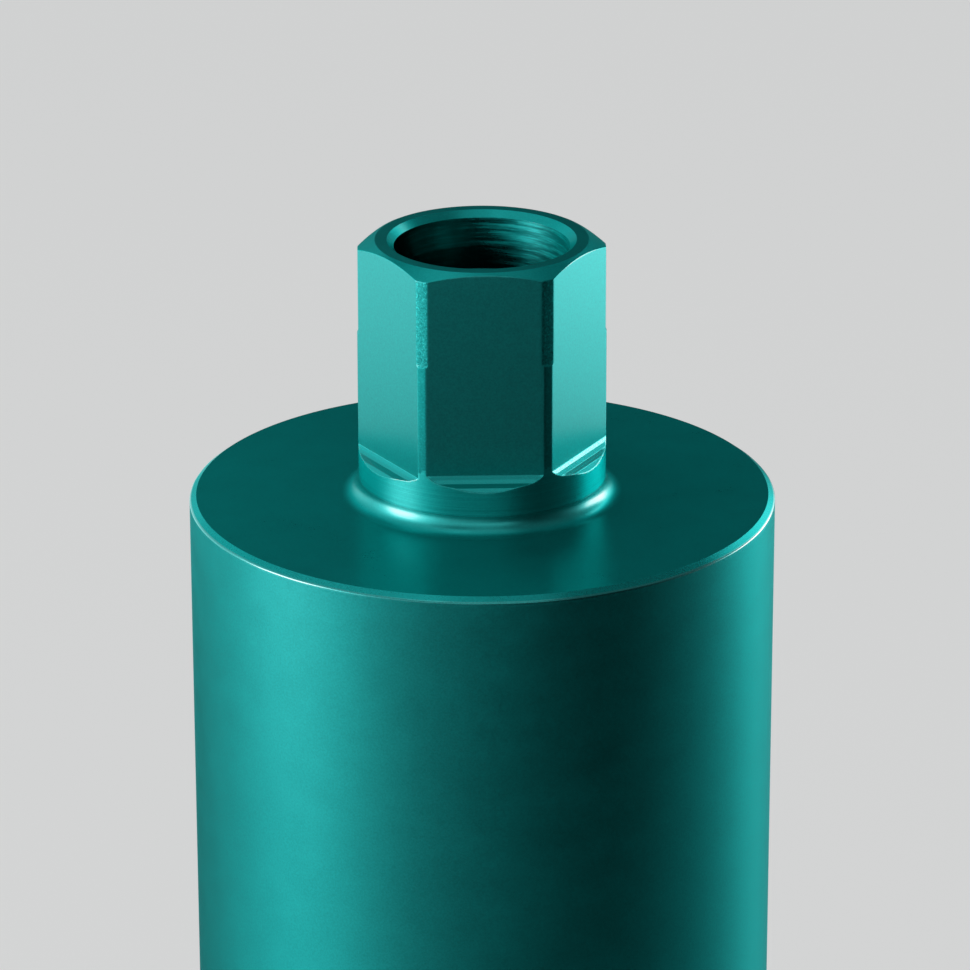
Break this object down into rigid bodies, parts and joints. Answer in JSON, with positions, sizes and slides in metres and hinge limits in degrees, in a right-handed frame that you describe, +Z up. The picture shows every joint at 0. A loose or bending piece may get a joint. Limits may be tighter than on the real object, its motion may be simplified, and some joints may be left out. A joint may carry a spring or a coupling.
{
  "type": "diamond core bit",
  "caption": "Steel tube with diamond segments at its cutting end and a threaded hexagonal coupling on its end plate, for wet core drilling.",
  "frame": {"origin": "middle of the cutting plane, on which the segments stand", "axes": "+Z up the axis of the tube to the coupling, -Y the way one wrench flat faces"},
  "size_m": [0.112, 0.1114, 0.5076],
  "materials": {
    "machined_steel": "satin, milled and turned",
    "turned_plate": "satin, face turned",
    "satin_tube": "satin, fine circumferential grain",
    "diamond_matrix": "sintered metal with diamond grit"
  },
  "bodies": {
    "root": {"hub": "machined_steel", "end_plate": "turned_plate", "tube": "satin_tube", "segment_01": "diamond_matrix", "segment_02": "diamond_matrix", "segment_03": "diamond_matrix", "segment_04": "diamond_matrix", "segment_05": "diamond_matrix", "segment_06": "diamond_matrix", "segment_07": "diamond_matrix", "segment_08": "diamond_matrix", "segment_09": "diamond_matrix", "segment_10": "diamond_matrix"}
  },
  "joints": []
}
